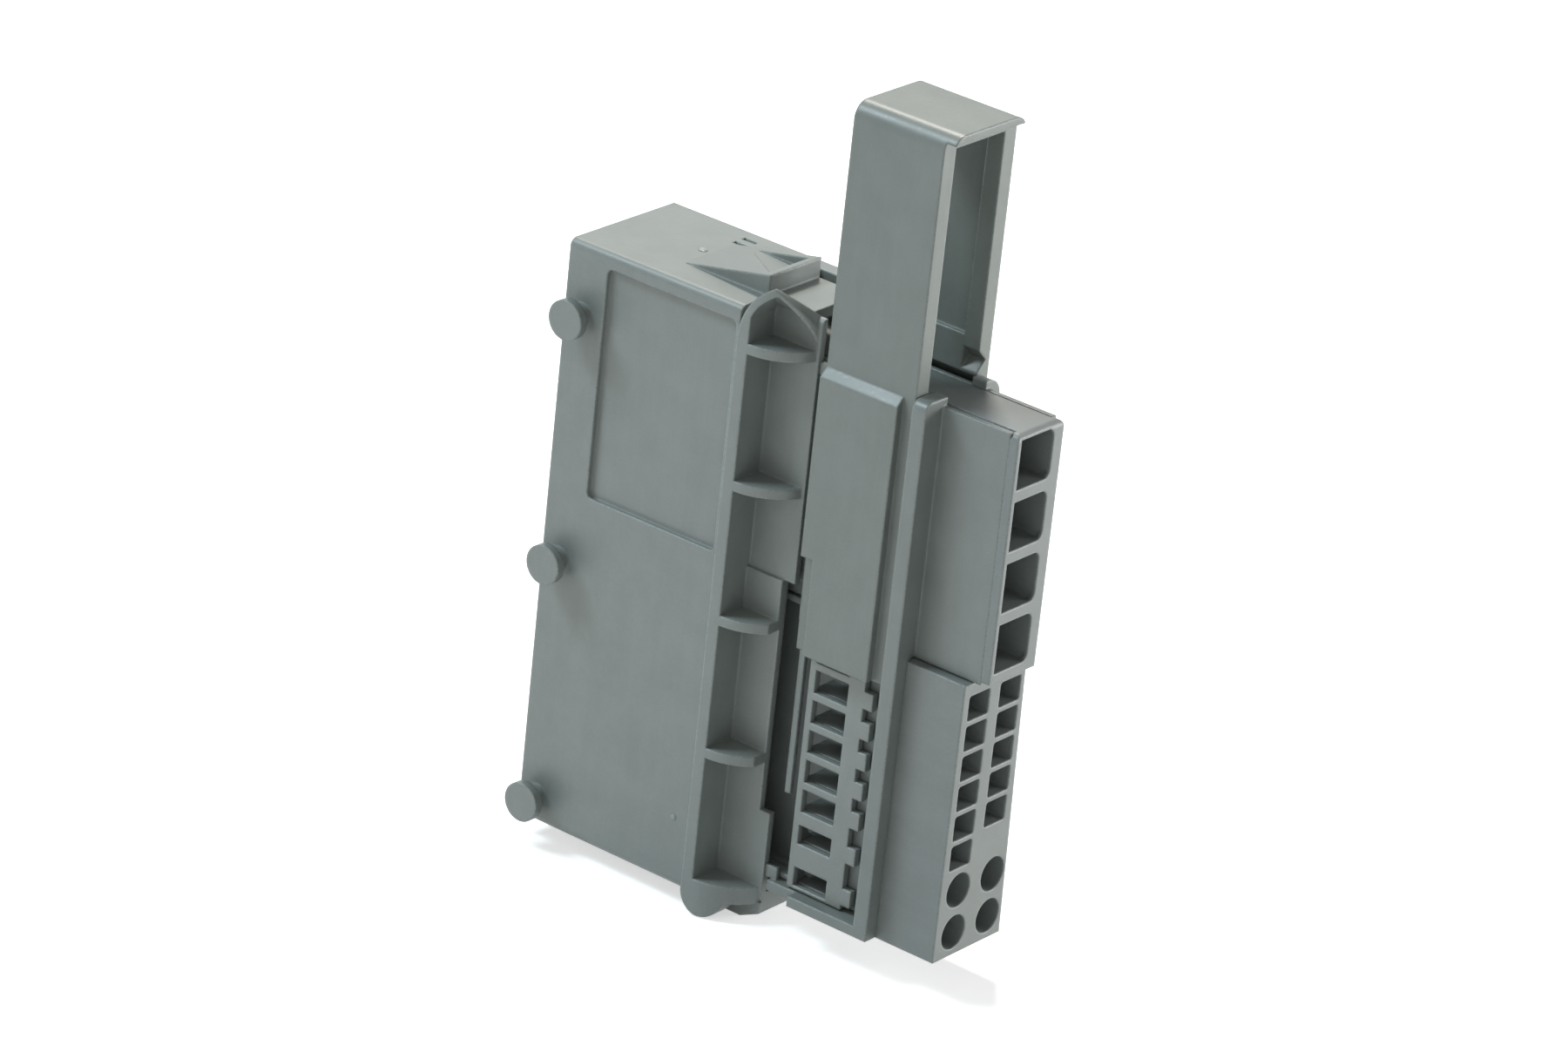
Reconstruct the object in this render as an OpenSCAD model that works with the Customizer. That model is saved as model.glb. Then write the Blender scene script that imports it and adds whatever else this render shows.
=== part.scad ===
// Wiring connector: mating hood, socket frame, two contact carriers, locking slide and comb lock.
// X = 0 at the mating mouth, + to the wire side. Y = 0 on the hood's middle plane, + to the back.
// Z = 0 at half the hood's height, + up. All sizes in mm; heights count from the hood's underside.

/* [Large cavities] */
// Large cavities in the column
power_count = 4; // [2:1:6]
// Spacing of the large cavities
power_pitch = 9.9; // [9:0.1:12]
// Side of a large cavity at its mouth
power_mouth = 8; // [6.6:0.1:8.4]
// Width of a large cavity inside its carrier
power_bore = 6.6; // [5:0.1:7]
// Wall beside a large cavity inside its carrier
power_skin = 0.7; // [0.5:0.1:1.5]
// Wall above the top cavity and below the lowest one
power_end = 0.8; // [0.6:0.1:2]
// Offset of the cavities' mouths to the front
power_shift = 0.7; // [0.6:0.05:0.75]
// Rounding of the mouths' back corners
power_round = 1.4; // [0.5:0.1:3]

/* [Small cavities] */
// Rows of small square cavities
signal_rows = 6; // [3:1:10]
// Spacing of the rows
signal_pitch = 5; // [4.8:0.1:7]
// Side of a small square cavity
signal_cav = 4.2; // [3:0.1:4.3]
// Distance of each column from the carrier's middle plane
signal_col = 3.5; // [3.3:0.1:4]
// Thin wall in front of the cavities inside the frame
signal_skin = 0.4; // [0.4:0.1:1]
// Wall above the top row
signal_end = 2.1; // [0.8:0.1:3]
// Thickening of the carrier's head on front and back
signal_step = 1.2; // [0.8:0.1:2]
// Width of the cavities in the carrier's head
head_cav = 5.1; // [4.8:0.1:5.2]
// How far the front column's mouths in the head lie behind the body's front
head_inset = 0.2; // [0.1:0.05:0.5]
// Offset of the back column in the head
head_shift = 0.85; // [0.6:0.05:1.1]
// Rounding of the cavities' mouths
head_round = 0.5; // [0.2:0.1:0.9]
// Thickening of the head's back at its top
head_back = 0.5; // [0.4:0.1:1.2]
// Length of the carrier's waist left of the comb
waist_len = 12.5; // [8:0.5:14]
// Depth of the carrier's waist
waist_depth = 4.7; // [1:0.1:5]

/* [Round cavities] */
// Diameter of a round cavity
round_d = 5.7; // [4:0.1:6]
// Diameter of the narrower passage behind it
round_through_d = 2.8; // [2:0.1:3]
// Distance of the round cavities from their middle plane
round_col = 4.2; // [3.6:0.1:4.4]
// Offset of that plane to the back
round_shift = 1.4; // [1:0.1:1.6]
// Thickening of the head's back at its foot
foot_back = 2; // [1.8:0.1:2.6]
// Height of the lower round cavities above the frame's underside
round_edge = 3.9; // [3.7:0.1:6]
// Spacing of the round cavities in height
round_pitch = 7.1; // [6.6:0.1:9]
// Step in height from the upper round cavity to the first square row
round_to_square = 6; // [5.6:0.1:9]

/* [Hood] */
// Width of the hood's front face
hood_w = 33.5; // [30:0.5:45]
// Thickness of the hood from front to back
hood_t = 25; // [23.5:0.5:32]
// Height of the hood above the top of the large carrier
hood_rise = 6.7; // [5:0.1:12]
// Wall of the hood
hood_wall = 1.8; // [1.4:0.1:2.4]
// Rounding of the hood's long edges
hood_round = 1.2; // [0.5:0.1:2]
// Thickness of the floor that carries the neck
hood_floor = 2.2; // [1.5:0.1:4]
// Depth of the free mouth in front of the carriers
mouth_depth = 12; // [8:0.5:16]
// Depth of the shallow panel on the front face
panel_depth = 0.9; // [0.3:0.1:1]
// Start of the shallow panel from the mouth
panel_start = 7.6; // [7:0.1:12]
// Margin between the panel and the bar
panel_margin = 0.6; // [0.4:0.1:3]
// Height of the shallow panel
panel_h = 37.6; // [20:0.5:50]
// Distance of the shallow panel from the hood's top
panel_drop = 2.5; // [2:0.1:8]

/* [Cored bar] */
// Width of the bar with the ribs
bar_w = 11; // [10:0.5:15]
// Depth of the pockets in the bar
bar_depth = 5.6; // [4:0.1:5.6]
// Wall behind the pockets
bar_back = 1.2; // [0.8:0.1:1.4]
// Wall on the bar's left side
bar_side = 2.1; // [1.4:0.1:3]
// Wall of the rounded ears
ear_wall = 1.2; // [0.8:0.1:2]
// Wall of the upper ear on its right side
ear_edge = 0.6; // [0.5:0.1:1.2]
// Radius of the bar's rounded front
bar_corner = 9; // [7:0.1:9.5]
// How far the bar stands proud of the hood's front
bar_proud = 0.4; // [0.2:0.1:1]
// Rise of the upper ear above the hood
ear_rise = 4.5; // [2:0.1:5]
// Radius of the lower ear
heel_r = 3.6; // [2:0.1:4.5]
// Drop of the lower ear below the hood
heel_drop = 3; // [1:0.1:3.4]
// Ribs in the bar
rib_count = 5; // [3:1:8]
// Thickness of a rib
rib_t = 1.6; // [1:0.1:2.5]
// Height of the lowest rib
rib_low = 2.1; // [1.5:0.1:4]
// Distance of the highest rib from the hood's top
rib_drop = 6; // [5.5:0.1:10]
// Height at which the bar's notch starts
notch_low = 15.5; // [12:0.5:30]
// Length of the bar's notch
notch_h = 38.5; // [20:0.5:50]
// Depth of the bar's notch
notch_w = 2; // [1:0.1:4]
// Height of the step on the pockets' floor beside the notch
notch_step = 0.5; // [0.2:0.1:1]
// Length by which the hood's top ends before the bar
top_short = 3; // [1:0.1:5]

/* [Studs] */
// Studs on the hood's front
stud_count = 3; // [2:1:3]
// Diameter of a stud's head
stud_head_d = 6.4; // [5:0.1:6.6]
// Thickness of a stud's head
stud_head_t = 1.4; // [1:0.1:2]
// Diameter of a stud's neck
stud_neck_d = 4; // [3:0.1:4.6]
// How far a stud stands out
stud_reach = 3.8; // [3:0.1:6]
// Distance of the studs from the mouth
stud_edge = 3.3; // [3.3:0.1:3.6]
// Height of the lowest stud
stud_low = 4.5; // [4:0.1:8]
// Spacing of the studs
stud_pitch = 40.5; // [20:0.5:42]

/* [Latch noses] */
// Width of the latch noses
nose_w = 12; // [8:0.5:16]
// Start of the upper nose from the mouth
nose_start = 17; // [10:0.5:20]
// Length of the upper nose
nose_len = 16.3; // [14:0.1:20]
// Height of the upper nose
nose_h = 3.3; // [2:0.1:5]
// Rim left at the end of the upper nose
nose_rim = 1.3; // [1:0.1:2]
// Length of the hollow in the upper nose
nose_hollow = 11; // [6:0.5:12]
// Depth of that hollow
nose_hollow_depth = 2.2; // [1:0.1:3]
// Length of the dents beside the upper nose
dent_len = 2.6; // [1:0.1:4]
// Width of the dents
dent_w = 0.8; // [0.4:0.1:1.2]
// Depth of the dents
dent_depth = 0.5; // [0.3:0.1:0.8]
// Spacing of the dents
dent_pitch = 2.2; // [1.6:0.1:2.8]
// Start of the lower nose from the mouth
keel_start = 24; // [14:0.5:30]
// Length of the lower nose
keel_len = 20.5; // [12:0.5:20.5]
// Width of the lower nose
keel_w = 14; // [8:0.5:16]
// Length of its flat part
keel_flat = 4.5; // [3:0.5:9]
// Length of its rising tail
keel_tail = 3.5; // [1:0.1:4]
// Depth of the lower nose
keel_h = 3.2; // [2:0.1:4]
// Length by which the slot beside the upper nose starts before the hood's floor
slot_lead = 0.3; // [-2:0.1:4]
// Length of that slot
slot_len = 8; // [4:0.1:9]
// Width of that slot
slot_w = 2.9; // [1.5:0.1:2.9]

/* [Socket frame] */
// Offset of the socket's middle plane to the back
socket_shift = 0.5; // [0:0.1:0.6]
// Groove between hood and frame
groove = 1.2; // [0.8:0.1:3]
// Thickness of the guide wall
guide_t = 1; // [0.8:0.1:2]
// Reach of the guide wall beyond the carrier
guide_reach = 1; // [0.8:0.1:1.6]
// Offset of the guide wall's lower part to the comb
guide_shift = 0.85; // [0.5:0.05:0.95]
// Height at which the guide wall's front strip starts
guide_low = 20; // [12:0.5:30]
// Clear width of the slide's channel
channel_w = 17.4; // [16:0.1:24]
// Thickness of the rail wall
rail_t = 2.5; // [1.8:0.1:4]
// Rise of the rail wall above the large carrier
rail_rise = 1.3; // [0.4:0.1:1.4]
// Rounding of the rail wall's upper corners
rail_round = 1.5; // [0.5:0.1:2.5]
// Rounding of the rail wall's upper back corner
rail_back_round = 3; // [2.6:0.1:4]
// Setback of the rail wall from the slide's panel
rail_set = 0.3; // [0.2:0.1:1]
// Wall of the hub round the large carrier
hub_wall = 0.9; // [0.8:0.1:1.5]
// Height of the frame's underside above the hood's
frame_low = 3.2; // [2.6:0.1:5]
// Thickness of the frame's floor
floor_t = 1.7; // [1.2:0.1:2]
// Start of the floor's front edge in the channel
floor_start = 4.5; // [1:0.1:8]
// Thickness of the deck between the carriers
deck_t = 1; // [0.8:0.1:2]
// Length of the large carrier's shroud beyond the rail
power_reach = 12.5; // [8:0.1:20]
// Thickness of the large carrier's end flange
flange_t = 1.6; // [1:0.1:3]
// Rounding of the flange's upper edges
flange_round = 1.1; // [0.4:0.1:1.2]
// Length of the small carrier's head
signal_reach = 11.1; // [8:0.1:20]

/* [Locking slide] */
// Travel of the slide
slide_travel = 39.5; // [20:0.5:40]
// Thickness of the legs above the ledge
leg_t = 2.8; // [2.4:0.1:4]
// Thickness of the legs below the ledge
panel_t = 2.2; // [1.6:0.1:2.6]
// Thickness of the cap
cap_t = 2.6; // [2.2:0.1:2.6]
// Rounding of the cap's edges
cap_round = 2.6; // [1:0.1:2.6]
// Thickness of the cap's lip
lip_t = 1.3; // [1:0.1:1.6]
// Reach of the cap's lip to the wire side
lip_reach = 1.7; // [1.2:0.1:2.6]
// Margin beside the proud panels
slide_margin = 2.2; // [1:0.1:4]
// Margin beside the recess inside the legs
recess_margin = 3; // [2:0.1:5]
// Length of the rebate at the panels' lower left edge
rebate_h = 15.6; // [8:0.1:25]
// Depth of the recess inside the legs
leg_recess = 0.8; // [0.4:0.1:1.2]
// Size of the detent notch in the back leg
detent = 1.8; // [1:0.1:2]

/* [Comb lock] */
// Thickness of the comb plate
lock_t = 1.2; // [0.8:0.1:2]
// Travel of the comb plate
lock_travel = 1.5; // [0.8:0.1:1.5]
// Left margin of the comb plate in the channel
lock_left = 2.5; // [2.2:0.1:3]
// Width of the bar left of the windows
lock_bar = 1.1; // [1:0.1:2]
// Width of the rim above the top window
lock_rim = 0.75; // [0.5:0.05:1.2]
// Width of the windows
window_w = 6.4; // [4:0.1:7]
// Height of the windows
window_h = 3.8; // [2:0.1:4]
// Height of the windows in front of the round cavities
round_window_h = 3.2; // [2:0.1:3.3]
// How far these windows lie above their rows
round_window_lift = 0.2; // [0.1:0.1:0.4]
// How far the windows lie below their rows
window_drop = 0.1; // [0:0.1:0.6]
// Width of the strip between windows and teeth
lock_strip = 3; // [2:0.1:4]
// Length of the teeth
tooth_len = 1.7; // [1:0.1:2]
// Height of a tooth
tooth_h = 2.8; // [2:0.1:3.4]
// How far the teeth lie above their rows
tooth_rise = 0.3; // [0:0.1:0.5]

/* [Clearances] */
// Gap of the seated pieces
seat_gap = 0.25; // [0.15:0.05:0.35]
// Gap between the large carrier and its shroud
power_gap = 0.6; // [0.3:0.05:0.8]
// Least gap between the wall behind the bar's pockets and the small carrier
bar_gap = 0.2; // [0.1:0.05:0.6]
// Gap of the sliding pieces
run_gap = 0.3; // [0.2:0.05:0.4]
// Gap left when the slide is pushed home
stop_gap = 0.2; // [0.1:0.05:0.5]
// Gap under the slide's feet when pushed home
foot_gap = 0.4; // [0.3:0.1:2]

/* [Hidden] */
$fn = 48;
cut = 1;
join = 0.2;
hood_half = hood_t / 2;
hood_end = hood_w + bar_w;
guide_x = hood_end + groove;
channel_x = guide_x + guide_t;
rail_x = channel_x + channel_w;
block_x = rail_x + rail_t;
flange_x = block_x + power_reach;
neck_x = hood_w - hood_floor;
slot_depth = 4;
blade_w = 1.4;
blade_h = 6;
pin_slot = 1.2;
round_inset = 0.6;
signal_half = signal_col + signal_cav / 2 + signal_skin;
head_half = signal_half + signal_step;
power_half = power_bore / 2 + power_skin;
hub_in = power_half + power_gap;
hub_half = hub_in + hub_wall;
guide_half = signal_half + guide_reach;
lock_back = signal_half + run_gap;
lock_front = lock_back + lock_t;
leg_in = hub_half + run_gap;
leg_out = leg_in + leg_t;
panel_in = lock_front + run_gap;
panel_out = panel_in + panel_t;
rail_front = panel_out - rail_set;
rail_back = leg_out - rail_set;
floor_top = frame_low + floor_t;
signal_low = floor_top + seat_gap;
round_rows = 2;
round_top = frame_low + round_edge + (round_rows - 1) * round_pitch;
signal_top = round_top + round_to_square + (signal_rows - 1) * signal_pitch + signal_cav / 2 + signal_end;
deck_low = signal_top + seat_gap;
power_low = deck_low + deck_t + seat_gap;
power_first = power_low + power_end + power_mouth / 2;
power_top = power_first + (power_count - 1) * power_pitch + power_mouth / 2 + power_end;
rail_top = power_top + rail_rise;
hood_h = power_top + hood_rise;
slide_top = power_top + stop_gap + slide_travel + cap_t;
lip_low = slide_top - lip_t;
slide_low = floor_top + foot_gap + slide_travel;
slide_x = channel_x + run_gap;
slide_w = channel_w - 2 * run_gap;
lock_x = channel_x + lock_left;
window_x = lock_x + lock_bar;
tooth_x = window_x + window_w + lock_strip;
lock_low = floor_top + run_gap;
lock_top = row_z(round_rows + signal_rows - 1) + window_h / 2 + lock_rim;
ledge = lock_top + lock_travel + run_gap + slide_travel;
panel_top = ledge + run_gap;
head_end = block_x + signal_reach;
pad_h = 2;
panel_r = 1;
shelf_t = 0.35;
guide_jog = deck_low - guide_t;
guide_low_x = guide_x + guide_shift;
waist_end = 0.8;
bar_front_y = -hood_half - bar_proud;
bar_floor_y = -hood_half + bar_depth;
bar_back_y = bar_floor_y + bar_back;
bar_hollow_y = min(bar_back_y, socket_shift - signal_half - bar_gap);
ear_z = hood_h + ear_rise - bar_w * sqrt(3) / 2;
rib_pitch = (hood_h - rib_drop - rib_low) / (rib_count - 1);

// Height of a row of contacts, the round ones first
function row_z(i) = i < round_rows
    ? frame_low + round_edge + i * round_pitch
    : round_top + round_to_square + (i - round_rows) * signal_pitch;

// Height of a window's middle, its own height and that of the opening behind it
function window_z(i) = i < round_rows ? row_z(i) + round_window_lift : row_z(i) - window_drop;
function window_size(i) = i < round_rows ? round_window_h : window_h;
function opening_size(i) = i < round_rows ? round_window_h : signal_cav;

module at_base() {
    translate([0, 0, -hood_h / 2]) children();
}

module at_socket() {
    translate([0, socket_shift, -hood_h / 2]) children();
}

// Extrudes a drawing of Y and Z along X
module along_x(from, to) {
    translate([from, 0, 0]) rotate([90, 0, 90]) linear_extrude(to - from) children();
}

// Extrudes a drawing of X and Z along Y
module along_y(from, to) {
    translate([0, to, 0]) rotate([90, 0, 0]) linear_extrude(to - from) children();
}

module box(low, high) {
    translate(low) cube(high - low);
}

module rounded(low, high, r) {
    translate([low[0] + r, low[1]]) square([high[0] - low[0] - 2 * r, high[1] - low[1]]);
    translate([low[0], low[1] + r]) square([high[0] - low[0], high[1] - low[1] - 2 * r]);
    for (x = [low[0] + r, high[0] - r], y = [low[1] + r, high[1] - r])
        translate([x, y]) circle(r);
}

// Pointed arch of the upper ear, drawn smaller by a margin on each side
module ear_arch(left, right) {
    intersection() {
        translate([hood_w, ear_z]) circle(bar_w - right);
        translate([hood_end, ear_z]) circle(bar_w - left);
        translate([hood_w, ear_z]) square(bar_w);
    }
}

// Outline of the cored bar seen from the front
module bar_front() {
    ear_arch(0, 0);
    translate([hood_w, 0]) square([bar_w, ear_z]);
    translate([hood_w + heel_r, heel_r - heel_drop]) circle(heel_r);
}

// Outline of the cored bar seen from above
module bar_plan() {
    depth = bar_back_y - bar_front_y;
    translate([hood_w, bar_front_y]) square([bar_w - bar_corner, depth]);
    intersection() {
        translate([hood_end - bar_corner, bar_front_y + bar_corner]) circle(bar_corner);
        translate([hood_end - bar_corner, bar_front_y]) square([bar_corner, depth]);
    }
}

// Side view of the bar: the ears fall off to the back, drawn smaller by a margin
module bar_side_view(margin) {
    polygon([[-hood_t, margin - heel_drop], [bar_front_y + ear_wall, margin - heel_drop],
        [bar_back_y, margin], [bar_back_y, hood_h - margin],
        [bar_front_y + ear_wall, hood_h + ear_rise - margin], [-hood_t, hood_h + ear_rise - margin]]);
}

module ribs() {
    for (i = [0 : rib_count - 1])
        box([hood_w, -hood_t, rib_low + i * rib_pitch - rib_t / 2],
            [hood_end + cut, 0, rib_low + i * rib_pitch + rib_t / 2]);
}

module bar_pockets() {
    last = hood_h - rib_drop;
    difference() {
        union() {
            intersection() {
                along_y(-hood_t, bar_floor_y) {
                    ear_arch(ear_wall, ear_edge);
                    translate([hood_w + ear_wall, last])
                        square([bar_w - ear_wall - ear_edge, ear_z - last + join]);
                }
                along_x(hood_w + bar_side, hood_end) bar_side_view(ear_wall);
            }
            box([hood_w + bar_side, -hood_t, rib_low], [hood_end + cut, bar_floor_y, last]);
        }
        ribs();
        box([hood_w, bar_floor_y - notch_step, rib_low + floor(rib_count / 2) * rib_pitch],
            [hood_end + cut, 0, notch_low + notch_h]);
    }
}

module cored_bar() {
    difference() {
        intersection() {
            along_y(-hood_t, 0) bar_front();
            translate([0, 0, -hood_h]) linear_extrude(3 * hood_h) bar_plan();
            along_x(hood_w, hood_end) bar_side_view(0);
        }
        bar_pockets();
    }
}

module stud() {
    rotate([90, 0, 0]) {
        translate([0, 0, -join]) cylinder(d = stud_neck_d, h = stud_reach - stud_head_t + 2 * join);
        translate([0, 0, stud_reach - stud_head_t]) cylinder(d = stud_head_d, h = stud_head_t);
    }
}

module upper_nose() {
    end = nose_start + nose_len;
    hollow_end = end - nose_rim;
    difference() {
        along_y(-nose_w / 2, nose_w / 2)
            polygon([[nose_start, hood_h - join], [nose_start, hood_h],
                [end, hood_h + nose_h], [end, hood_h - join]]);
        translate([0, 0, hood_h + nose_h - nose_hollow_depth]) linear_extrude(nose_hollow_depth + cut)
            polygon([[hollow_end - nose_hollow, nose_w / 2 - nose_rim], [hollow_end, nose_w / 2 - nose_rim],
                [hollow_end, nose_rim - nose_w / 2]]);
    }
}

module lower_nose() {
    end = keel_start + keel_len;
    flat_end = end - keel_tail;
    along_y(-keel_w / 2, keel_w / 2)
        polygon([[keel_start, join], [keel_start, 0], [flat_end - keel_flat, -keel_h],
            [flat_end, -keel_h], [end, -keel_h / 2], [end, join]]);
}

module hood_port() {
    box([neck_x - cut, -signal_half - seat_gap, floor_top], [hood_w + cut, signal_half + seat_gap, deck_low]);
    box([neck_x - cut, -hub_half - seat_gap, deck_low - seat_gap],
        [hood_w + cut, hub_half + seat_gap, power_top + seat_gap]);
}

module hood_hollows() {
    inner = hood_half - hood_wall;
    slot_x = neck_x - slot_lead;
    slot_y = inner - hood_wall;
    along_x(-cut, neck_x) rounded([-inner, hood_wall], [inner, hood_h - hood_wall], hood_round / 2);
    box([hood_w, bar_hollow_y, hood_wall], [hood_end + cut, inner, hood_h - hood_wall]);
    box([hood_end - top_short, bar_back_y, hood_h - hood_wall - cut], [hood_end + cut, hood_t, hood_h + cut]);
    translate([0, socket_shift, 0]) hood_port();
    along_y(-hood_half - cut, -hood_half + panel_depth)
        rounded([panel_start, hood_h - panel_drop - panel_h],
            [hood_w - panel_margin, hood_h - panel_drop], panel_r);
    box([hood_end - notch_w, -hood_t, notch_low], [hood_end + cut, bar_back_y + cut, notch_low + notch_h]);
    box([slot_x, slot_y - slot_w, hood_h - hood_wall - cut], [slot_x + slot_len, slot_y, hood_h + cut]);
    for (i = [0, 1])
        translate([nose_start - dent_len / 3, nose_w / 2 + dent_w / 4 + i * dent_pitch, hood_h - dent_depth])
            cube([dent_len, dent_w, dent_depth + cut]);
}

module plug_hood() {
    color([0.52, 0.55, 0.54]) at_base() {
        difference() {
            union() {
                along_x(0, hood_w) rounded([-hood_half, 0], [hood_half, hood_h], hood_round);
                along_x(hood_w - hood_floor, hood_end)
                    rounded([-hood_half + bar_depth, 0], [hood_half, hood_h], hood_round);
                cored_bar();
            }
            hood_hollows();
        }
        for (i = [0 : stud_count - 1])
            translate([stud_edge, -hood_half, stud_low + i * stud_pitch]) stud();
        upper_nose();
        lower_nose();
    }
}

// Passages for both carriers through the walls of the frame
module passages(from, to) {
    box([from, -signal_half - seat_gap, floor_top], [to, signal_half + seat_gap, deck_low]);
    box([from, -hub_in, power_low - seat_gap], [to, hub_in, rail_top + cut]);
}

module frame_floor() {
    difference() {
        box([guide_x, -rail_front, frame_low], [block_x, rail_back, floor_top]);
        box([guide_x - cut, -rail_front - cut, frame_low - cut],
            [channel_x + floor_start, -panel_in, floor_top + cut]);
    }
}

module rail_outline() {
    r = rail_back_round;
    difference() {
        rounded([-rail_front, frame_low], [rail_back, rail_top], rail_round);
        translate([rail_back - r, rail_top - r]) difference() {
            square(r + cut);
            circle(r);
        }
    }
}

// Small pad between hood and guide wall
module frame_pad(wall_x, z) {
    box([hood_end, -guide_half, z], [wall_x + join, -signal_half - seat_gap, z + pad_h]);
}

module socket_frame() {
    color([0.5, 0.53, 0.52]) at_socket() {
        difference() {
            union() {
                box([guide_x, -guide_half, guide_jog], [channel_x, guide_half, power_top]);
                box([guide_low_x, -guide_half, frame_low], [guide_low_x + guide_t, guide_half, deck_low]);
                box([guide_x, -guide_half, guide_jog],
                    [guide_low_x + guide_t, guide_half, deck_low + shelf_t]);
                along_x(rail_x, block_x) rail_outline();
            }
            passages(guide_x - cut, block_x + cut);
            box([guide_x - cut, -guide_half - cut, floor_top],
                [guide_low_x + guide_t + cut, -signal_half, guide_low]);
        }
        frame_floor();
        difference() {
            union() {
                for (side = [-hub_half, hub_in])
                    box([neck_x, side, deck_low], [flange_x, side + hub_wall, power_top]);
                box([neck_x, -hub_half, deck_low], [flange_x, hub_half, deck_low + deck_t]);
            }
            box([lock_x - waist_len, -hub_half - cut, deck_low - cut],
                [guide_x, -hub_in, notch_low + notch_h]);
        }
        frame_pad(guide_low_x, floor_top);
        frame_pad(guide_x, power_top - pad_h);
    }
}

// Mouth of a large cavity, its back corners rounded
module power_outline() {
    rounded([-power_mouth / 2, -power_mouth / 2], [power_mouth / 2, power_mouth / 2], power_round);
    translate([-power_mouth / 2, -power_mouth / 2]) square([power_mouth / 2, power_mouth]);
}

// End flange with rounded upper edges
module end_flange() {
    low = deck_low + deck_t / 2;
    intersection() {
        along_x(flange_x, flange_x + flange_t) {
            rounded([-hub_half, low], [hub_half, power_top], flange_round);
            translate([-hub_half, low]) square([2 * hub_half, power_mouth]);
        }
        along_y(-hood_t, hood_t) {
            rounded([mouth_depth, low - cut], [flange_x + flange_t, power_top], flange_round);
            translate([mouth_depth, low]) square([flange_x + flange_t - mouth_depth, power_mouth]);
        }
    }
}

module power_module() {
    color([0.56, 0.58, 0.57]) at_socket() difference() {
        union() {
            box([mouth_depth, -power_half, power_low], [flange_x + join, hub_in - seat_gap, power_top]);
            end_flange();
        }
        for (i = [0 : power_count - 1]) translate([0, 0, power_first + i * power_pitch]) {
            along_x(flange_x, flange_x + flange_t + cut) translate([-power_shift, 0]) power_outline();
            box([mouth_depth + slot_depth, -power_bore / 2, -power_mouth / 2],
                [flange_x + cut, power_bore / 2, power_mouth / 2]);
            box([mouth_depth - cut, -blade_w / 2, -blade_h / 2],
                [mouth_depth + slot_depth + cut, blade_w / 2, blade_h / 2]);
        }
    }
}

// One column of square cavities: side -1 is the front one
module square_column(side, first) {
    head_y = side > 0 ? signal_col + head_shift : head_inset + head_cav / 2 - signal_half;
    for (i = [first : round_rows + signal_rows - 1]) translate([0, 0, row_z(i)]) {
        along_x(block_x, head_end + cut)
            rounded([head_y - head_cav / 2, -signal_cav / 2],
                [head_y + head_cav / 2, signal_cav / 2], head_round);
        translate([0, side * signal_col, 0]) {
            box([mouth_depth + slot_depth, -signal_cav / 2, -signal_cav / 2],
                [block_x + cut, signal_cav / 2, signal_cav / 2]);
            box([mouth_depth - cut, -pin_slot / 2, -pin_slot],
                [mouth_depth + slot_depth + cut, pin_slot / 2, pin_slot]);
        }
    }
}

module round_cavities() {
    for (i = [0 : round_rows - 1], s = [-1, 1]) translate([0, 0, row_z(i)]) rotate([0, 90, 0]) {
        translate([0, round_shift + s * round_col, block_x]) cylinder(d = round_d, h = signal_reach + cut);
        translate([0, round_inset + s * signal_col, mouth_depth - cut])
            cylinder(d = round_through_d, h = block_x - mouth_depth + 2 * cut);
    }
}

module signal_module() {
    color([0.5, 0.52, 0.51]) at_socket() difference() {
        union() {
            box([mouth_depth, -signal_half, signal_low], [block_x + join, signal_half, signal_top]);
            along_x(block_x, head_end)
                polygon([[-head_half, frame_low], [head_half + foot_back, frame_low],
                    [head_half + head_back, signal_top], [-head_half, signal_top]]);
        }
        square_column(-1, round_rows);
        square_column(1, round_rows + 1);
        round_cavities();
        for (i = [0 : round_rows + signal_rows - 1]) {
            z = i < round_rows ? window_z(i) : row_z(i);
            box([window_x - lock_bar / 2, -signal_half - cut, z - opening_size(i) / 2],
                [window_x + window_w + lock_bar / 2, signal_cav / 2 - signal_col, z + opening_size(i) / 2]);
        }
        box([lock_x - waist_len, -signal_half - cut, signal_low + waist_end],
            [lock_x, waist_depth - signal_half, signal_top + cut]);
    }
}

// Section of the slide: rounded cap, legs and the thinner, proud lower panels
module slide_section() {
    rise = panel_in - leg_in;
    step = panel_out - leg_out;
    difference() {
        union() {
            rounded([-leg_out, slide_low], [leg_out, slide_top], cap_round);
            polygon([[-panel_out, slide_low], [panel_out, slide_low], [panel_out, panel_top],
                [leg_out, panel_top + step], [-leg_out, panel_top + step], [-panel_out, panel_top]]);
        }
        polygon([[-panel_in, slide_low - cut], [panel_in, slide_low - cut], [panel_in, ledge],
            [leg_in, ledge + rise], [leg_in, slide_top - cap_t], [-leg_in, slide_top - cap_t],
            [-leg_in, ledge + rise], [-panel_in, ledge]]);
    }
}

module slide_lip() {
    intersection() {
        along_x(slide_x + slide_w - join, slide_x + slide_w + lip_reach)
            rounded([-leg_out, slide_low], [leg_out, slide_top], cap_round);
        box([slide_x, -hood_t, lip_low], [flange_x, hood_t, slide_top]);
    }
}

// Cuts the proud panel back to the leg on the front and on the back
module panel_cut(low, high) {
    for (side = [-hood_t - leg_out, leg_out])
        box([low[0], side, low[1]], [high[0], side + hood_t, high[1]]);
}

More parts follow.
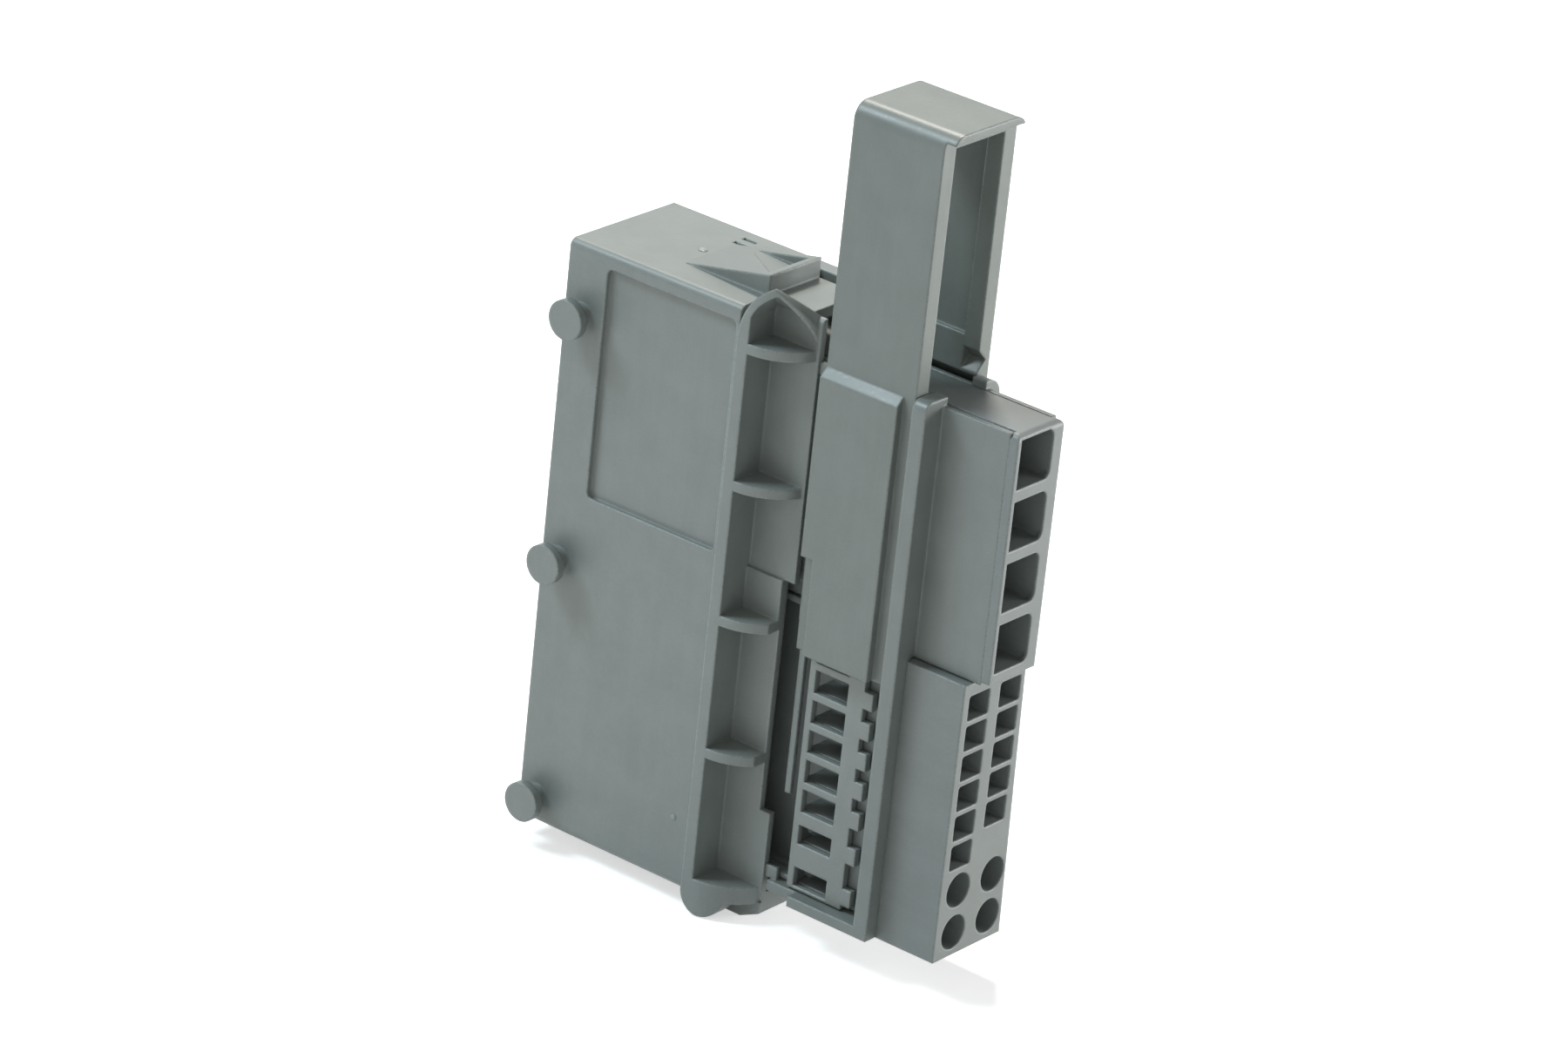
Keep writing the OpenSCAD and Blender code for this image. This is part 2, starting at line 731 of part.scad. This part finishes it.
module locking_slide() {
    right = slide_x + slide_w;
    recess_low = ledge + panel_in;
    notch = recess_low - 2 * detent;
    color([0.54, 0.57, 0.56]) at_socket() {
        difference() {
            along_x(slide_x, right) slide_section();
            panel_cut([right - slide_margin, slide_low - cut], [right + cut, panel_top + panel_t]);
            panel_cut([slide_x - cut, slide_low - cut], [slide_x + slide_margin, slide_low + rebate_h]);
            box([slide_x + recess_margin, -leg_in - leg_recess, recess_low],
                [right - recess_margin, leg_in + leg_recess, slide_top - cap_t - leg_recess]);
            along_x(right - recess_margin, right + cut)
                polygon([[leg_in - cut, notch + detent], [leg_in, notch + detent], [leg_in + detent, notch],
                    [leg_in, notch - detent], [leg_in - cut, notch - detent]]);
        }
        slide_lip();
    }
}

module secondary_lock() {
    rows = [0 : round_rows + signal_rows - 1];
    color([0.58, 0.6, 0.59]) at_socket() {
        difference() {
            box([lock_x, -lock_front, lock_low], [tooth_x, -lock_back, lock_top]);
            for (i = rows)
                box([window_x, -lock_front - cut, window_z(i) - window_size(i) / 2],
                    [window_x + window_w, -lock_back + cut, window_z(i) + window_size(i) / 2]);
        }
        for (i = rows) translate([0, 0, row_z(i) + tooth_rise])
            box([tooth_x - join, -lock_front, -tooth_h / 2], [tooth_x + tooth_len, -lock_back, tooth_h / 2]);
    }
}

plug_hood();
socket_frame();
power_module();
signal_module();
locking_slide();
secondary_lock();
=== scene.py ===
import math

import bpy
from bpy.props import FloatProperty, FloatVectorProperty, PointerProperty
from mathutils import Matrix, Vector


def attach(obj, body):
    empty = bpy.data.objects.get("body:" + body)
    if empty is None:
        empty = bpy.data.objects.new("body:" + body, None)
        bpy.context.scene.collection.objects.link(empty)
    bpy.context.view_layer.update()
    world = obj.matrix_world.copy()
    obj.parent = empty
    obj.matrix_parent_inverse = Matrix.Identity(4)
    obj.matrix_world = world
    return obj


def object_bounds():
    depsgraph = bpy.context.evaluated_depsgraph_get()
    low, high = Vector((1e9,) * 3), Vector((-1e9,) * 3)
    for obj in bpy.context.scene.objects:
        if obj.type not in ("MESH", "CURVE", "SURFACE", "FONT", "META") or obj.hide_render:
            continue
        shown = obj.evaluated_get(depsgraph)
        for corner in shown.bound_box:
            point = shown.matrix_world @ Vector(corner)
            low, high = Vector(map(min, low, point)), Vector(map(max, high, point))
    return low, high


bl_info = {
    "name": "Wiring connector looks",
    "version": (1, 0, 0),
    "blender": (4, 5, 0),
    "location": "3D View > Sidebar > Connector",
    "description": "Moulded finishes, mould marks and a studio stage for a wiring connector",
    "category": "Object",
}

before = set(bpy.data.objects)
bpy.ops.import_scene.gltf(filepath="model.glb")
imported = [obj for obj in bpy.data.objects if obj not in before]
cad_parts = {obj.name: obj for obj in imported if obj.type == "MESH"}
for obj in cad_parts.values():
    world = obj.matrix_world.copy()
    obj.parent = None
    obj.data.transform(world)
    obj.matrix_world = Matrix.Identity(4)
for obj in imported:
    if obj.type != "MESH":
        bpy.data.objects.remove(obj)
cad_box = [list(corner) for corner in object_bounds()]

MM = 0.001

# Patterns of the plastic, in waves to a millimetre
CLOUD_WAVES = 0.16
SPECK_WAVES = 2.6
FLOW_WAVES = 0.7
SCUFF_WAVES = 1.6

# Squeeze of a pattern along X, Y and Z: it runs long where the share is small
FLOW_UP = (1, 1, 0.12)
FLOW_ALONG = (0.12, 1, 1)
SCUFF_UP = (1, 1, 0.03)

# Values between which a pattern or mask goes from none to all
THIN_RANGE = (0.05, 0.4)
TURN_RANGE = (0.002, 0.03)
SPECK_RANGE = (0.25, 0.6)
TONE_RANGE = (0.3, 0.7)
SCUFF_RANGE = (0.52, 0.7)

# Shares of the patterns in the plastic's tone
CLOUD_SHARE = 0.5
FLOW_SHARE = 0.2
SPECK_SHARE = 0.3

# Brightness against the plain colour
DARK_TONE = 0.93
LIGHT_TONE = 1.07
# Edges are painted this much paler, partly as wear and partly as a painted highlight where their
# rounding catches the light
WEAR_HIGHLIGHT_TONE = 1.9
TORN_TONE = 1.5
SCUFF_TONE = 1.35

# How far patterns, and the edge wear with its painted highlight, change the roughness
CLOUD_ROUGH = 0.14
SPECK_ROUGH = 0.1
WEAR_HIGHLIGHT_SMOOTH = 0.1
PATTERN_MIDDLE = 0.5

EDGE_RAYS = 6
PLASTIC_IOR = 1.5

# Form of a mould mark, first as shares of its rise, then of its width
RIM_ROUND = 0.6
DISH_DEPTH = 0.4
NIB_RISE = 0.5
RIM_WIDTH = 0.12
NIB_INSET = 0.2
NIB_TAPER = 0.6
MARK_SIDES = 32
RIM_SEGMENTS = 3
SMOOTH_ANGLE = math.radians(40)

# A mark's top faces: how far their normal points up, and their share of the width squared
UPWARD = 0.9
TOP_SHARE = 1 / 3

# Tint, place and edge length of each soft box, in metres
LAMPS = {
    "key": {"tint": (1.0, 0.94, 0.87), "place": (-0.35, 0.45, 0.8), "size": 0.15},
    "side": {"tint": (1.0, 1.0, 1.0), "place": (0.7, 0.6, 0.1), "size": 0.4},
    "top": {"tint": (0.76, 0.91, 1.0), "place": (-0.5, -0.4, 0.75), "size": 0.3},
}

FLOOR_WIDTH = 6
SENSOR_WIDTH = 36.0
VIEW_LIMIT = 20.0

# A point in the connector, and how far right and below the picture's middle it lies
CAMERA_AIM = Vector((36.0, -2.5, 6.55)) * MM
CAMERA_SHIFT = Vector((-2.0875, 4.5132)) * MM


class Value:
    """A socket in a finish, so that shader maths reads as Python."""

    def __init__(self, finish, socket):
        self.finish = finish
        self.socket = socket

    def maths(self, operation, first, second):
        return self.finish.node("ShaderNodeMath", {"operation": operation}, {0: first, 1: second})

    def at_least(self, low):
        return self.maths("MAXIMUM", self, low)

    def __add__(self, other):
        return self.maths("ADD", self, other)

    def __sub__(self, other):
        return self.maths("SUBTRACT", self, other)

    def __rsub__(self, other):
        return self.maths("SUBTRACT", other, self)

    def __mul__(self, other):
        return self.maths("MULTIPLY", self, other)

    __radd__ = __add__
    __rmul__ = __mul__


class Finish:
    """The nodes of a material or of the room under construction."""

    def __init__(self, owner):
        self.owner = owner
        owner.use_nodes = True
        self.tree = owner.node_tree
        self.tree.nodes.clear()

    def node(self, kind, settings=None, inputs=None, output=0):
        """Adds a node: its settings first, then the values or links of its sockets."""
        made = self.tree.nodes.new(kind)
        for key, value in (settings or {}).items():
            setattr(made, key, value)
        for key, value in (inputs or {}).items():
            if isinstance(value, Value):
                self.tree.links.new(value.socket, made.inputs[key])
            else:
                made.inputs[key].default_value = value
        return Value(self, made.outputs[output]) if made.outputs else None

    def place(self, stretch=(1, 1, 1)):
        """The piece's own coordinates in millimetres, squeezed along each axis."""
        where = self.node("ShaderNodeTexCoord", output="Object")
        scale = [share / MM for share in stretch]
        return self.node("ShaderNodeMapping", inputs={"Vector": where, "Scale": scale})

    def noise(self, place, scale, detail=2.0, rough=0.5):
        """Smooth noise between 0 and 1, with so many waves in a millimetre."""
        sockets = {"Vector": place, "Scale": scale, "Detail": detail, "Roughness": rough}
        return self.node("ShaderNodeTexNoise", inputs=sockets, output="Fac")

    def ramp(self, value, low, high):
        """Takes values from low to high up to the whole range from 0 to 1."""
        return self.node("ShaderNodeMapRange", {"clamp": True, "interpolation_type": "SMOOTHSTEP"},
                         {"Value": value, "From Min": low, "From Max": high})

    def mix(self, share, first, second):
        """A colour between two others."""
        return self.node("ShaderNodeMix", {"data_type": "RGBA"},
                         {"Factor": share, 6: first, 7: second}, output=2)

    def along(self, first, second):
        """How far one direction runs along another."""
        return self.node("ShaderNodeVectorMath", {"operation": "DOT_PRODUCT"},
                         {0: first, 1: second}, output="Value")

    def seen(self):
        """1 where the camera looks, straight, in a reflection or through something clear."""
        path = "ShaderNodeLightPath"
        return (self.node(path, output="Is Camera Ray") + self.node(path, output="Is Glossy Ray")
                + self.node(path, output="Is Transmission Ray"))


def shade(colour, factor):
    """A colour made lighter or darker, ready for a socket."""
    return [min(1.0, part * factor) for part in colour] + [1.0]


def outward_edges(finish, round_normal, reach):
    """1 along edges that stand out: little plastic below, and a rounded shade that turns away."""
    inside = finish.node("ShaderNodeAmbientOcclusion",
                         {"inside": True, "only_local": True, "samples": EDGE_RAYS},
                         {"Distance": reach}, output="AO")
    facing = finish.node("ShaderNodeNewGeometry", output="Normal")
    agree = finish.along(round_normal, facing)
    return finish.ramp(1 - inside, *THIN_RANGE) * finish.ramp(1 - agree, *TURN_RANGE)


def moulded_plastic(name, colour, look, gloss=0.0, streak=FLOW_UP, rub=0.0):
    """Spark-eroded plastic with grain, flow streaks, cloudy filler, and edges painted paler partly
    as wear and partly as a painted highlight.
    """
    finish = Finish(bpy.data.materials.new(name))
    place = finish.place()
    cloud = finish.noise(place, CLOUD_WAVES, detail=3.0)
    speck = finish.noise(place, SPECK_WAVES, rough=0.6)
    flow = finish.noise(finish.place(streak), FLOW_WAVES, detail=3.0, rough=0.55)
    grain = finish.noise(place, 1 / look.grain_size * MM, detail=3.0, rough=0.6)
    round_normal = finish.node("ShaderNodeBevel", {"samples": EDGE_RAYS},
                               {"Radius": look.edge_round})
    edge = outward_edges(finish, round_normal, look.edge_round)
    # Convex edges painted paler: partly wear, partly a painted highlight of light on their rounding
    wear_and_highlight = edge * finish.ramp(speck, *SPECK_RANGE)
    tone = CLOUD_SHARE * cloud + FLOW_SHARE * flow + SPECK_SHARE * speck
    body = finish.mix(finish.ramp(tone, *TONE_RANGE),
                      shade(colour, DARK_TONE), shade(colour, LIGHT_TONE))
    pale = finish.mix(wear_and_highlight * look.edge_wear_and_highlight, body, shade(colour, WEAR_HIGHLIGHT_TONE))
    rough = (look.roughness - gloss + CLOUD_ROUGH * (cloud - PATTERN_MIDDLE)
             + SPECK_ROUGH * (speck - PATTERN_MIDDLE) - WEAR_HIGHLIGHT_SMOOTH * wear_and_highlight)
    if rub:
        lines = finish.noise(finish.place(SCUFF_UP), SCUFF_WAVES, rough=0.6)
        scuff = finish.ramp(lines, *SCUFF_RANGE)
        rough = rough - rub * scuff
        pale = finish.mix(scuff * rub, pale, shade(colour, SCUFF_TONE))
    relief = finish.node("ShaderNodeBump", inputs={
        "Strength": look.grain_strength, "Distance": look.grain_depth,
        "Height": grain, "Normal": round_normal})
    surface = finish.node("ShaderNodeBsdfPrincipled", inputs={
        "Base Color": pale, "Roughness": rough, "Normal": relief, "IOR": PLASTIC_IOR})
    finish.node("ShaderNodeOutputMaterial", inputs={"Surface": surface})
    return finish.owner


def dress(node, material):
    """Puts one material all over a CAD node."""
    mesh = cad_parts[node].data
    mesh.materials.clear()
    mesh.materials.append(material)
    for face in mesh.polygons:
        face.material_index = 0


def alone(piece):
    """Leaves only one object selected and active."""
    bpy.ops.object.select_all(action="DESELECT")
    piece.select_set(True)
    bpy.context.view_layer.objects.active = piece


def pick_faces(piece, test):
    """Goes into edit mode with only those faces selected that pass a test."""
    bpy.ops.object.mode_set(mode="EDIT")
    bpy.ops.mesh.select_mode(type="FACE")
    bpy.ops.mesh.select_all(action="DESELECT")
    bpy.ops.object.mode_set(mode="OBJECT")
    for face in piece.data.polygons:
        face.select = test(face)
    bpy.ops.object.mode_set(mode="EDIT")


def settle(piece):
    """Puts a piece's place into its mesh, so that its object sits at the origin."""
    alone(piece)
    bpy.ops.object.transform_apply(location=True, rotation=True, scale=True)


class ConnectorLook(bpy.types.PropertyGroup):
    """Colours and grain of the moulded pieces."""

    hood: FloatVectorProperty(
        name="Hood", description="Colour of the mating hood",
        subtype="COLOR", size=3, min=0, max=1, default=(0.2, 0.224, 0.211))
    socket: FloatVectorProperty(
        name="Frame", description="Colour of the socket frame",
        subtype="COLOR", size=3, min=0, max=1, default=(0.185, 0.209, 0.197))
    power: FloatVectorProperty(
        name="Large carrier", description="Colour of the large contact carrier",
        subtype="COLOR", size=3, min=0, max=1, default=(0.19, 0.211, 0.205))
    signal: FloatVectorProperty(
        name="Small carrier", description="Colour of the small contact carrier",
        subtype="COLOR", size=3, min=0, max=1, default=(0.187, 0.209, 0.199))
    slide: FloatVectorProperty(
        name="Slide", description="Colour of the locking slide",
        subtype="COLOR", size=3, min=0, max=1, default=(0.174, 0.197, 0.181))
    comb: FloatVectorProperty(
        name="Comb", description="Colour of the comb lock",
        subtype="COLOR", size=3, min=0, max=1, default=(0.215, 0.237, 0.223))
    roughness: FloatProperty(
        name="Roughness", description="Roughness of the plain faces",
        subtype="FACTOR", min=0.2, max=0.9, default=0.43)
    grain_size: FloatProperty(
        name="Grain size", description="Width of one grain of the surface",
        unit="LENGTH", default=0.22 * MM)
    grain_depth: FloatProperty(
        name="Grain depth", description="Depth of the grain",
        unit="LENGTH", default=0.05 * MM)
    grain_strength: FloatProperty(
        name="Grain strength", description="How clearly the grain shows",
        subtype="FACTOR", min=0, max=1, default=0.22)
    edge_round: FloatProperty(
        name="Edge rounding", description="Rounding of the sharp edges",
        unit="LENGTH", default=0.55 * MM)
    # How pale the edges are painted: partly wear, partly a painted highlight
    edge_wear_and_highlight: FloatProperty(
        name="Edge wear", description="How pale the edges are rubbed",
        subtype="FACTOR", min=0, max=1, default=0.45)


class ConnectorMarks(bpy.types.PropertyGroup):
    """Places and sizes of the marks that moulding leaves."""

    gate_place: FloatVectorProperty(
        name="Gate", description="Place of the trimmed gate on the hood's top",
        subtype="TRANSLATION", unit="LENGTH", size=3,
        default=(15.4 * MM, 0.15 * MM, 48.45 * MM))
    gate_width: FloatProperty(
        name="Gate width", description="Width of the trimmed gate",
        unit="LENGTH", default=1.5 * MM)
    spot_place: FloatVectorProperty(
        name="Spot", description="Place of the small spot on the hood's front",
        subtype="TRANSLATION", unit="LENGTH", size=3,
        default=(30.5 * MM, -12.5 * MM, -37.1 * MM))
    spot_width: FloatProperty(
        name="Spot width", description="Width of the small spot",
        unit="LENGTH", default=1.0 * MM)
    rise: FloatProperty(
        name="Rise", description="How far the marks stand out",
        unit="LENGTH", default=0.12 * MM)
    sink: FloatProperty(
        name="Sink", description="How far the marks reach into the wall",
        unit="LENGTH", default=0.03 * MM)


class ConnectorStage(bpy.types.PropertyGroup):
    """Floor, lamps and camera."""

    floor_colour: FloatVectorProperty(
        name="Floor", description="Colour of the floor",
        subtype="COLOR", size=3, min=0, max=1, default=(0.86, 0.86, 0.86))
    floor_glow: FloatProperty(
        name="Floor glow", description="Light that only the camera sees on the floor",
        min=0, max=1, default=0.55)
    room: FloatProperty(
        name="Room light", description="Even light from all sides",
        min=0, max=2, default=0.04)
    right: FloatProperty(
        name="Light on the right", description="Room light from the wire side",
        min=0, max=2, default=0.04)
    front: FloatProperty(
        name="Light in front", description="Room light from the front",
        min=0, max=2, default=0.71)
    key: FloatProperty(
        name="Key lamp", description="Power of the lamp behind the hood",
        unit="POWER", default=6.6)
    side: FloatProperty(
        name="Side lamp", description="Power of the lamp on the wire side",
        unit="POWER", default=7.58)
    top: FloatProperty(
        name="Top lamp", description="Power of the lamp above the front",
        unit="POWER", default=6.09)
    azimuth: FloatProperty(
        name="Azimuth", description="Camera's turn round the connector",
        subtype="ANGLE", default=0.64421)
    elevation: FloatProperty(
        name="Elevation", description="Camera's height above the horizon",
        subtype="ANGLE", default=0.41337)
    roll: FloatProperty(
        name="Roll", description="Camera's turn about its own line of sight",
        subtype="ANGLE", default=-0.10697)
    distance: FloatProperty(
        name="Distance", description="Camera's distance from the middle of the picture",
        unit="LENGTH", default=1.0521)
    lens: FloatProperty(
        name="Lens", description="Focal length of the camera",
        unit="CAMERA", default=160.0)


class FinishHood(bpy.types.Operator):
    """Gives the mating hood its grained plastic"""

    bl_idname = "connector.finish_hood"
    bl_label = "Finish the hood"

    def execute(self, context):
        look = context.scene.connector_look
        dress("plug_hood", moulded_plastic("hood_plastic", look.hood, look))
        return {"FINISHED"}


class FinishFrame(bpy.types.Operator):
    """Gives the socket frame its grained plastic"""

    bl_idname = "connector.finish_frame"
    bl_label = "Finish the frame"

    def execute(self, context):
        look = context.scene.connector_look
        dress("socket_frame", moulded_plastic("frame_plastic", look.socket, look, gloss=0.04))
        return {"FINISHED"}


class FinishCarriers(bpy.types.Operator):
    """Gives both contact carriers their grained plastic"""

    bl_idname = "connector.finish_carriers"
    bl_label = "Finish the carriers"

    def execute(self, context):
        look = context.scene.connector_look
        dress("power_module",
              moulded_plastic("power_plastic", look.power, look, streak=FLOW_ALONG))
        dress("signal_module",
              moulded_plastic("signal_plastic", look.signal, look, streak=FLOW_ALONG))
        return {"FINISHED"}


class FinishSlide(bpy.types.Operator):
    """Gives the locking slide its plastic, scuffed along its travel"""

    bl_idname = "connector.finish_slide"
    bl_label = "Finish the slide"

    def execute(self, context):
        look = context.scene.connector_look
        dress("locking_slide",
              moulded_plastic("slide_plastic", look.slide, look, gloss=0.03, rub=0.05))
        return {"FINISHED"}


class FinishComb(bpy.types.Operator):
    """Gives the comb lock its smoother plastic"""

    bl_idname = "connector.finish_comb"
    bl_label = "Finish the comb"

    def execute(self, context):
        look = context.scene.connector_look
        dress("secondary_lock", moulded_plastic("comb_plastic", look.comb, look, gloss=0.08))
        return {"FINISHED"}


class AddMouldMarks(bpy.types.Operator):
    """Adds the trimmed gate on the hood's top and the small spot on its front"""

    bl_idname = "connector.add_mould_marks"
    bl_label = "Add the mould marks"

    def execute(self, context):
        look = context.scene.connector_look
        marks = context.scene.connector_marks
        torn = [part * TORN_TONE for part in look.hood]
        plastic = moulded_plastic("torn_plastic", torn, look, gloss=0.1)
        self.trim("gate_mark", marks.gate_place, marks.gate_width, 0.0, marks, plastic)
        self.trim("spot_mark", marks.spot_place, marks.spot_width, math.pi / 2, marks, plastic)
        return {"FINISHED"}

    def trim(self, name, place, width, turn, marks, plastic):
        """A flat stub with a rounded rim, a dished top and a torn nib in its middle."""
        bpy.ops.object.select_all(action="DESELECT")
        height = marks.rise + marks.sink
        bpy.ops.mesh.primitive_cylinder_add(vertices=MARK_SIDES, radius=width / 2, depth=height,
                                            location=(0, 0, height / 2 - marks.sink))
        mark = bpy.context.object
        mark.name = name
        settle(mark)
        pick_faces(mark, lambda face: face.normal.z > UPWARD)
        bpy.ops.mesh.bevel(offset=marks.rise * RIM_ROUND, segments=RIM_SEGMENTS, affect="EDGES")
        least = width * width * TOP_SHARE
        pick_faces(mark, lambda face: face.normal.z > UPWARD and face.area > least)
        bpy.ops.mesh.inset(thickness=width * RIM_WIDTH)
        bpy.ops.transform.translate(value=(0, 0, -marks.rise * DISH_DEPTH))
        bpy.ops.mesh.inset(thickness=width * NIB_INSET)
        lift = {"value": (0, 0, marks.rise * NIB_RISE)}
        bpy.ops.mesh.extrude_region_move(TRANSFORM_OT_translate=lift)
        bpy.ops.transform.resize(value=(NIB_TAPER, NIB_TAPER, 1))
        bpy.ops.object.mode_set(mode="OBJECT")
        mark.rotation_euler = (turn, 0, 0)
        mark.location = place
        settle(mark)
        bpy.ops.object.shade_smooth_by_angle(angle=SMOOTH_ANGLE)
        mark.data.materials.append(plastic)
        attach(mark, "housing")


class SetStage(bpy.types.Operator):
    """Lays the floor and sets lamps, room light and camera"""

    bl_idname = "connector.set_stage"
    bl_label = "Set the stage"

    def execute(self, context):
        stage = context.scene.connector_stage
        self.lay_floor(stage)
        self.light_room(context.scene, stage)
        for name, lamp in LAMPS.items():
            self.hang_lamp(name + "_lamp", getattr(stage, name), **lamp)
        self.place_camera(context.scene, stage)
        context.scene.view_settings.view_transform = "Standard"
        return {"FINISHED"}

    def lay_floor(self, stage):
        """A wide pale floor under the lowest point."""
        bpy.ops.object.select_all(action="DESELECT")
        bpy.ops.mesh.primitive_plane_add(size=FLOOR_WIDTH, location=(0, 0, cad_box[0][2]))
        floor = bpy.context.object
        floor.name = "floor"
        settle(floor)
        finish = Finish(bpy.data.materials.new("floor_paper"))
        colour = shade(stage.floor_colour, 1)
        paper = finish.node("ShaderNodeBsdfDiffuse", inputs={"Color": colour})
        glow = finish.node("ShaderNodeEmission", inputs={"Strength": stage.floor_glow})
        bright = finish.node("ShaderNodeAddShader", inputs={0: paper, 1: glow})
        either = finish.node("ShaderNodeMixShader", inputs={0: finish.seen(), 1: paper, 2: bright})
        finish.node("ShaderNodeOutputMaterial", inputs={"Surface": either})
        floor.data.materials.append(finish.owner)

    def light_room(self, scene, stage):
        """Light from each side of the room, and white where the camera sees the room itself."""
        finish = Finish(bpy.data.worlds.new("studio"))
        toward = finish.node("ShaderNodeTexCoord", output="Generated")
        level = stage.room
        for side, share in (((1, 0, 0), stage.right), ((0, -1, 0), stage.front)):
            level = level + share * finish.along(toward, side).at_least(0.0)
        white = finish.node("ShaderNodeBackground", inputs={"Color": (1, 1, 1, 1), "Strength": 1.0})
        dark = finish.node("ShaderNodeBackground", inputs={"Color": (0, 0, 0, 1), "Strength": 0.0})
        room = finish.node("ShaderNodeMixShader", inputs={0: level, 1: dark, 2: white})
        either = finish.node("ShaderNodeMixShader", inputs={0: finish.seen(), 1: room, 2: white})
        finish.node("ShaderNodeOutputWorld", inputs={"Surface": either})
        scene.world = finish.owner

    def hang_lamp(self, name, power, tint, place, size):
        """A square soft box that faces the connector."""
        bpy.ops.object.light_add(type="AREA", location=place)
        lamp = bpy.context.object
        lamp.name = name
        lamp.data.energy = power
        lamp.data.color = tint
        lamp.data.size = size
        middle = (Vector(cad_box[0]) + Vector(cad_box[1])) / 2
        lamp.rotation_euler = (middle - Vector(place)).to_track_quat("-Z", "Y").to_euler()

    def place_camera(self, scene, stage):
        """A camera at the viewing angle of the product picture, which is 1800 by 1200."""
        turn, height, roll = stage.azimuth, stage.elevation, stage.roll
        ahead = Vector((-math.sin(turn) * math.cos(height), math.cos(turn) * math.cos(height),
                        -math.sin(height)))
        right = ahead.cross(Vector((0, 0, 1))).normalized()
        down = ahead.cross(right)
        across = math.cos(roll) * right + math.sin(roll) * down
        below = math.cos(roll) * down - math.sin(roll) * right
        middle = CAMERA_AIM - CAMERA_SHIFT.x * across - CAMERA_SHIFT.y * below
        bpy.ops.object.camera_add()
        camera = bpy.context.object
        camera.name = "product_camera"
        camera.matrix_world = Matrix((across, -below, -ahead)).transposed().to_4x4()
        camera.location = middle - stage.distance * ahead
        camera.data.lens = stage.lens
        camera.data.sensor_fit = "HORIZONTAL"
        camera.data.sensor_width = SENSOR_WIDTH
        camera.data.clip_end = VIEW_LIMIT
        scene.camera = camera


class ConnectorPanel(bpy.types.Panel):
    """Lists the sizes, the colours and the steps that dress the connector"""

    bl_idname = "VIEW3D_PT_connector"
    bl_label = "Connector"
    bl_space_type = "VIEW_3D"
    bl_region_type = "UI"
    bl_category = "Connector"

    def draw(self, context):
        scene = context.scene
        for group in (scene.connector_look, scene.connector_marks, scene.connector_stage):
            column = self.layout.column(align=True)
            for name in group.__annotations__:
                column.prop(group, name)
        for step in STEPS:
            self.layout.operator(step.bl_idname)


STEPS = (FinishHood, FinishFrame, FinishCarriers, FinishSlide, FinishComb, AddMouldMarks, SetStage)
GROUPS = (ConnectorLook, ConnectorMarks, ConnectorStage)


def register():
    for made in GROUPS + STEPS + (ConnectorPanel,):
        bpy.utils.register_class(made)
    bpy.types.Scene.connector_look = PointerProperty(type=ConnectorLook)
    bpy.types.Scene.connector_marks = PointerProperty(type=ConnectorMarks)
    bpy.types.Scene.connector_stage = PointerProperty(type=ConnectorStage)


def unregister():
    del bpy.types.Scene.connector_stage
    del bpy.types.Scene.connector_marks
    del bpy.types.Scene.connector_look
    for made in reversed(GROUPS + STEPS + (ConnectorPanel,)):
        bpy.utils.unregister_class(made)


def main():
    register()
    bpy.ops.connector.finish_hood()
    bpy.ops.connector.finish_frame()
    bpy.ops.connector.finish_carriers()
    bpy.ops.connector.finish_slide()
    bpy.ops.connector.finish_comb()
    bpy.ops.connector.add_mould_marks()
    bpy.ops.connector.set_stage()


if __name__ == "__main__":
    main()
